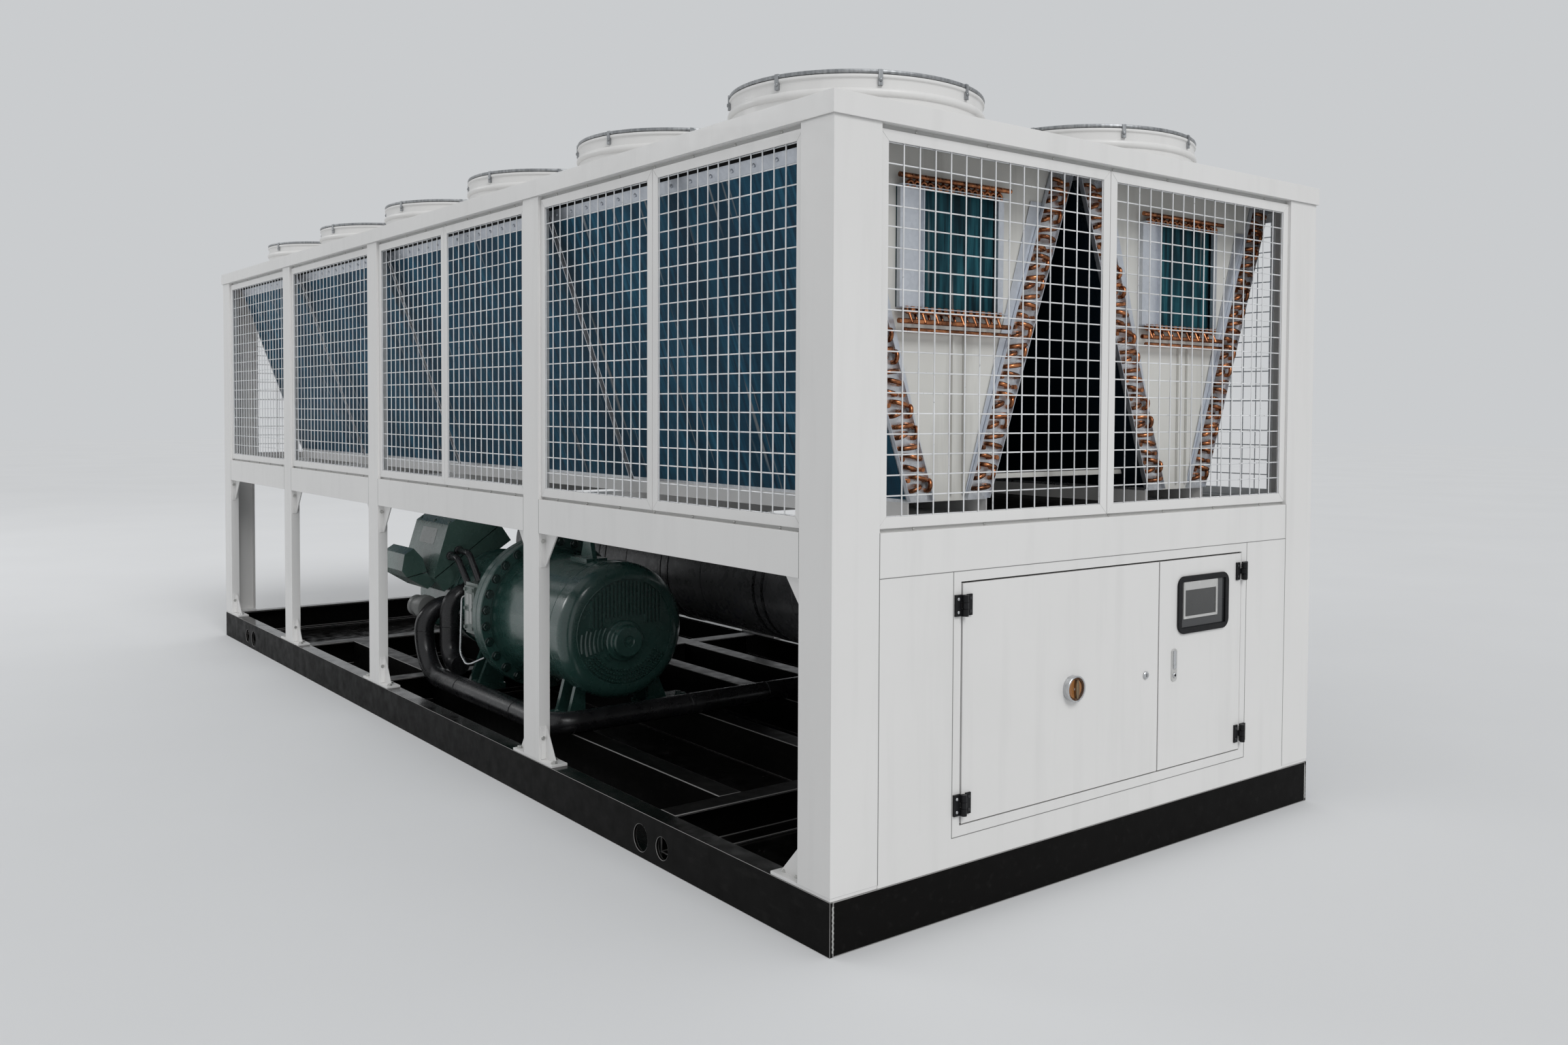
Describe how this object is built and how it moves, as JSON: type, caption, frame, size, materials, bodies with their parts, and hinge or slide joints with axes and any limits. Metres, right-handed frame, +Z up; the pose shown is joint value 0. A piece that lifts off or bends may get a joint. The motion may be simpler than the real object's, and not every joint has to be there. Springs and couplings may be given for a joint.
{
  "type": "air cooled water chiller",
  "caption": "Long outdoor chiller: open steel frame on a channel base, roof fans over V coil banks behind wire mesh, end cabinet with hinged doors, compressor and vessel below.",
  "frame": {"origin": "centre of the base at ground level", "axes": "+X along the length towards the control end, +Z up, -Y the front long side"},
  "size_m": [6.343, 2.296, 2.469],
  "materials": {
    "base_black": "satin black paint",
    "white_paint": "satin off-white powder coat",
    "galvanised": "bright galvanised sheet and wire",
    "guard_steel": "plain steel wire",
    "motor_black": "matt black paint",
    "rotor_plastic": "dark grey moulding",
    "fin_blue": "blue coated aluminium fins",
    "hinge_black": "black die casting",
    "switch_steel": "brushed plate",
    "switch_amber": "gloss",
    "frame_plastic": "matt",
    "screen_dark": "gloss",
    "compressor_green": "dark green machine paint",
    "insulation": "black foam rubber insulation"
  },
  "bodies": {
    "frame": {"base_rail_front": "base_black", "base_rail_back": "base_black", "base_rail_control_end": "base_black", "base_rail_far_end": "base_black", "base_cross_members": "base_black", "base_pan": "base_black", "corner_posts": "white_paint", "side_posts_front": "white_paint", "side_posts_back": "white_paint", "side_beams_front": "white_paint", "side_beams_back": "white_paint", "end_beams": "white_paint", "coil_support_beams": "white_paint", "drain_troughs": "galvanised", "roof_deck": "white_paint", "roof_fascia": "white_paint", "fan_cowls_front": "white_paint", "fan_cowls_back": "white_paint", "fan_guards_front": "guard_steel", "fan_guards_back": "guard_steel", "fan_motors": "motor_black", "fan_rotors": "rotor_plastic", "coil_slabs_front": "fin_blue", "coil_slabs_back": "fin_blue", "coil_casings_front": "galvanised", "coil_casings_back": "galvanised", "v_end_plates": "white_paint", "end_coils": "fin_blue", "inner_sheets": "base_black", "mesh_panels_front": "galvanised", "mesh_panels_back": "galvanised", "mesh_panels_control_end": "galvanised", "mesh_panels_far_end": "galvanised", "end_panel": "white_paint", "door_surround": "white_paint", "control_cabinet": "white_paint", "door_hinges": "hinge_black", "compressor_motor": "compressor_green", "compressor_casing": "compressor_green", "compressor_terminal_box": "compressor_green", "machinery_rails": "base_black", "suction_pipe": "insulation", "liquid_pipe": "insulation", "economiser_pipe": "insulation", "evaporator_shell": "insulation", "evaporator_saddles": "base_black"},
    "left_door": {"left_door": "white_paint", "main_switch_plate": "switch_steel"},
    "right_door": {"right_door": "white_paint", "hmi_frame": "frame_plastic", "hmi_screen": "screen_dark"},
    "main_switch_knob": {"main_switch_knob": "switch_amber"}
  },
  "joints": [
    {"name": "left_door_hinge", "type": "hinge", "parent": "frame", "child": "left_door", "pos_m": [3.166, -0.665, 0.616], "axis": [0, 0, -1], "range_deg": [0, 120]},
    {"name": "right_door_hinge", "type": "hinge", "parent": "frame", "child": "right_door", "pos_m": [3.166, 0.7, 0.616], "axis": [0, 0, 1], "range_deg": [0, 120]},
    {"name": "main_switch_turn", "type": "hinge", "parent": "left_door", "child": "main_switch_knob", "pos_m": [3.17, -0.192, 0.603], "axis": [1, 0, 0], "range_deg": [0, 90]}
  ]
}
